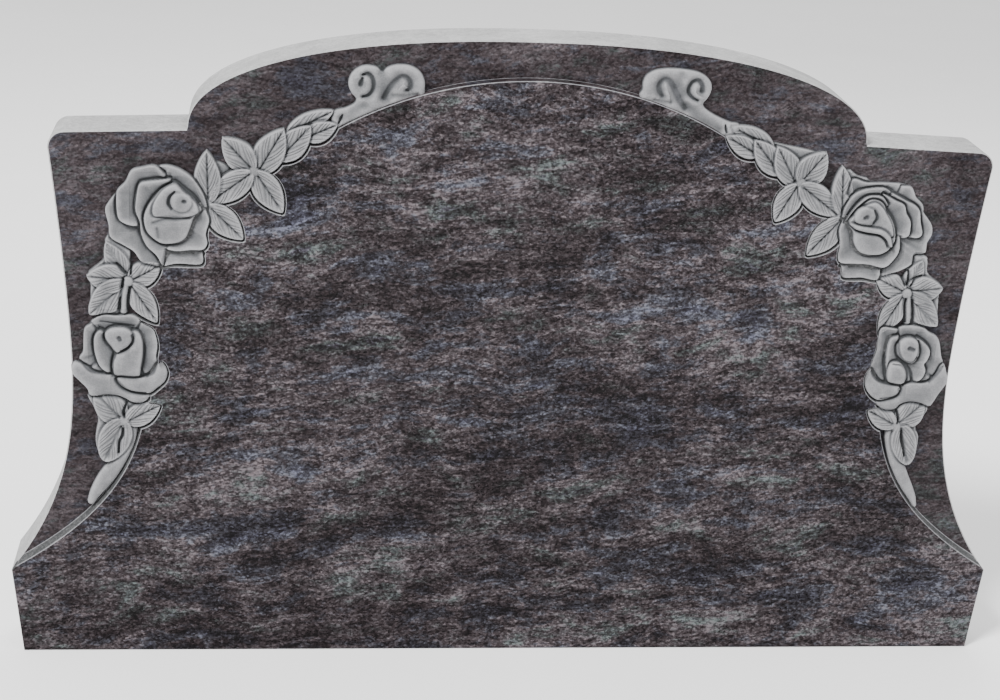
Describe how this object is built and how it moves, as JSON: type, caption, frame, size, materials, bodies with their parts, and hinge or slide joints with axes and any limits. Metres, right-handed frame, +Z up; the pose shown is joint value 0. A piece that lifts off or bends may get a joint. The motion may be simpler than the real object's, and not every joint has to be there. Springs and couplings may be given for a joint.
{
  "type": "carved granite headstone",
  "caption": "Wide polished granite headstone with flared foot, arched crown and a raised plain panel framed by rose garlands ending in scrolls.",
  "frame": {"origin": "centre of the underside that stands on the plinth or the ground", "axes": "+Z up to the crown, -Y out of the carved front, +X towards the right as one faces the front"},
  "size_m": [1.4, 0.1, 0.887],
  "materials": {
    "granite": "polished dark granite on the panel and the field, matte light grey where it is carved or cut"
  },
  "bodies": {
    "root": {"rose_headstone": "granite"}
  },
  "joints": []
}
